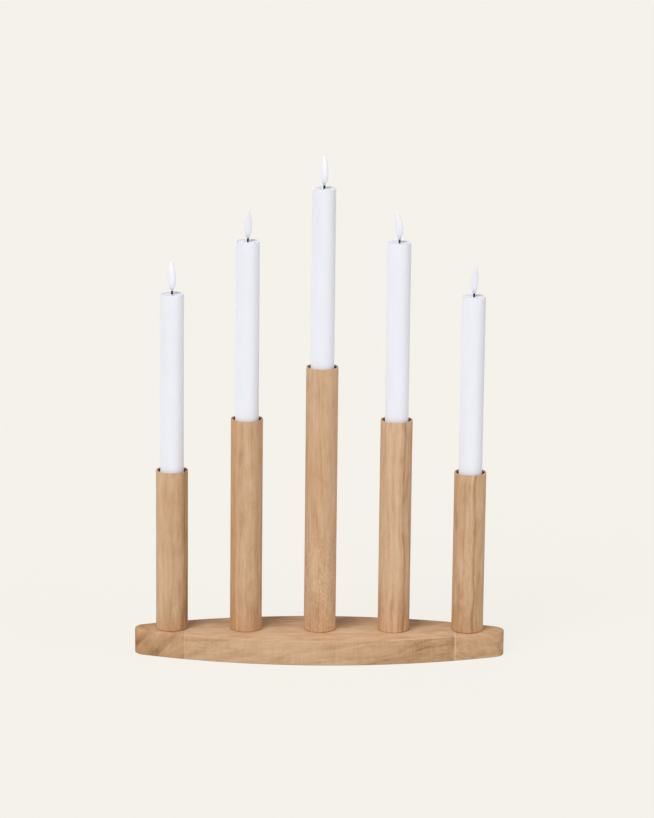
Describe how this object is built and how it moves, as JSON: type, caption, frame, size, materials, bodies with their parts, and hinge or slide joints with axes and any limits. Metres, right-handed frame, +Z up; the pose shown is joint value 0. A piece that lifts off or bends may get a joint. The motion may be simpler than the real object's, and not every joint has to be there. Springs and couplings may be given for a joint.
{
  "type": "advent candle holder",
  "caption": "Wooden advent candle holder: round posts rise in steps to the middle of a pointed oval base, each holding a battery taper candle that lifts out of its socket.",
  "frame": {"origin": "middle of the resting face, under the centre post", "axes": "+X along the row of posts to the right, +Y to the back, +Z up; the front faces -Y"},
  "size_m": [0.35, 0.084, 0.4764],
  "materials": {
    "base_wood": "light brown hardwood, oiled, fine long grain",
    "post_wood": "light brown hardwood, oiled, grain along the post",
    "dowel_wood": "plain beech",
    "cup_metal": "black, matt",
    "screw_steel": "zinc plated",
    "candle_wax": "white wax coat, smooth",
    "wick_black": "black",
    "flame_clear": "milky, see-through moulding",
    "board_green": "circuit board with a clear lamp",
    "cell_jacket": "plain grey jacket",
    "sleeve_white": "natural white moulding",
    "cap_white": "white moulding",
    "contact_steel": "nickel plated strip",
    "switch_black": "black moulding"
  },
  "bodies": {
    "holder": {"base_centre_block": "base_wood", "base_left_block": "base_wood", "base_right_block": "base_wood", "base_dowels": "dowel_wood", "post_screws": "screw_steel", "left_outer_post": "post_wood", "left_outer_cup": "cup_metal", "left_inner_post": "post_wood", "left_inner_cup": "cup_metal", "centre_post": "post_wood", "centre_cup": "cup_metal", "right_inner_post": "post_wood", "right_inner_cup": "cup_metal", "right_outer_post": "post_wood", "right_outer_cup": "cup_metal"},
    "left_outer_candle": {"left_outer_candle_shell": "candle_wax", "left_outer_wick": "wick_black", "left_outer_flame": "flame_clear", "left_outer_led_board": "board_green", "left_outer_battery_cells": "cell_jacket", "left_outer_battery_sleeve": "sleeve_white"},
    "left_outer_cap": {"left_outer_battery_cap": "cap_white", "left_outer_battery_contact": "contact_steel"},
    "left_outer_switch": {"left_outer_switch_slider": "switch_black"},
    "left_inner_candle": {"left_inner_candle_shell": "candle_wax", "left_inner_wick": "wick_black", "left_inner_flame": "flame_clear", "left_inner_led_board": "board_green", "left_inner_battery_cells": "cell_jacket", "left_inner_battery_sleeve": "sleeve_white"},
    "left_inner_cap": {"left_inner_battery_cap": "cap_white", "left_inner_battery_contact": "contact_steel"},
    "left_inner_switch": {"left_inner_switch_slider": "switch_black"},
    "centre_candle": {"centre_candle_shell": "candle_wax", "centre_wick": "wick_black", "centre_flame": "flame_clear", "centre_led_board": "board_green", "centre_battery_cells": "cell_jacket", "centre_battery_sleeve": "sleeve_white"},
    "centre_cap": {"centre_battery_cap": "cap_white", "centre_battery_contact": "contact_steel"},
    "centre_switch": {"centre_switch_slider": "switch_black"},
    "right_inner_candle": {"right_inner_candle_shell": "candle_wax", "right_inner_wick": "wick_black", "right_inner_flame": "flame_clear", "right_inner_led_board": "board_green", "right_inner_battery_cells": "cell_jacket", "right_inner_battery_sleeve": "sleeve_white"},
    "right_inner_cap": {"right_inner_battery_cap": "cap_white", "right_inner_battery_contact": "contact_steel"},
    "right_inner_switch": {"right_inner_switch_slider": "switch_black"},
    "right_outer_candle": {"right_outer_candle_shell": "candle_wax", "right_outer_wick": "wick_black", "right_outer_flame": "flame_clear", "right_outer_led_board": "board_green", "right_outer_battery_cells": "cell_jacket", "right_outer_battery_sleeve": "sleeve_white"},
    "right_outer_cap": {"right_outer_battery_cap": "cap_white", "right_outer_battery_contact": "contact_steel"},
    "right_outer_switch": {"right_outer_switch_slider": "switch_black"}
  },
  "joints": [
    {"name": "left_outer_candle_lift", "type": "slide", "parent": "holder", "child": "left_outer_candle", "axis": [0, 0, 1], "range_m": [0, 0.045]},
    {"name": "left_outer_cap_twist", "type": "hinge", "parent": "left_outer_candle", "child": "left_outer_cap", "pos_m": [-0.14, 0, 0.146], "axis": [0, 0, -1], "range_deg": [0, 30]},
    {"name": "left_outer_switch_slide", "type": "slide", "parent": "left_outer_cap", "child": "left_outer_switch", "axis": [1, 0, 0], "range_m": [0, 0.002]},
    {"name": "left_inner_candle_lift", "type": "slide", "parent": "holder", "child": "left_inner_candle", "axis": [0, 0, 1], "range_m": [0, 0.045]},
    {"name": "left_inner_cap_twist", "type": "hinge", "parent": "left_inner_candle", "child": "left_inner_cap", "pos_m": [-0.07, 0, 0.196], "axis": [0, 0, -1], "range_deg": [0, 30]},
    {"name": "left_inner_switch_slide", "type": "slide", "parent": "left_inner_cap", "child": "left_inner_switch", "axis": [1, 0, 0], "range_m": [0, 0.002]},
    {"name": "centre_candle_lift", "type": "slide", "parent": "holder", "child": "centre_candle", "axis": [0, 0, 1], "range_m": [0, 0.045]},
    {"name": "centre_cap_twist", "type": "hinge", "parent": "centre_candle", "child": "centre_cap", "pos_m": [0, 0, 0.246], "axis": [0, 0, -1], "range_deg": [0, 30]},
    {"name": "centre_switch_slide", "type": "slide", "parent": "centre_cap", "child": "centre_switch", "axis": [1, 0, 0], "range_m": [0, 0.002]},
    {"name": "right_inner_candle_lift", "type": "slide", "parent": "holder", "child": "right_inner_candle", "axis": [0, 0, 1], "range_m": [0, 0.045]},
    {"name": "right_inner_cap_twist", "type": "hinge", "parent": "right_inner_candle", "child": "right_inner_cap", "pos_m": [0.07, 0, 0.196], "axis": [0, 0, -1], "range_deg": [0, 30]},
    {"name": "right_inner_switch_slide", "type": "slide", "parent": "right_inner_cap", "child": "right_inner_switch", "axis": [1, 0, 0], "range_m": [0, 0.002]},
    {"name": "right_outer_candle_lift", "type": "slide", "parent": "holder", "child": "right_outer_candle", "axis": [0, 0, 1], "range_m": [0, 0.045]},
    {"name": "right_outer_cap_twist", "type": "hinge", "parent": "right_outer_candle", "child": "right_outer_cap", "pos_m": [0.14, 0, 0.146], "axis": [0, 0, -1], "range_deg": [0, 30]},
    {"name": "right_outer_switch_slide", "type": "slide", "parent": "right_outer_cap", "child": "right_outer_switch", "axis": [1, 0, 0], "range_m": [0, 0.002]}
  ]
}
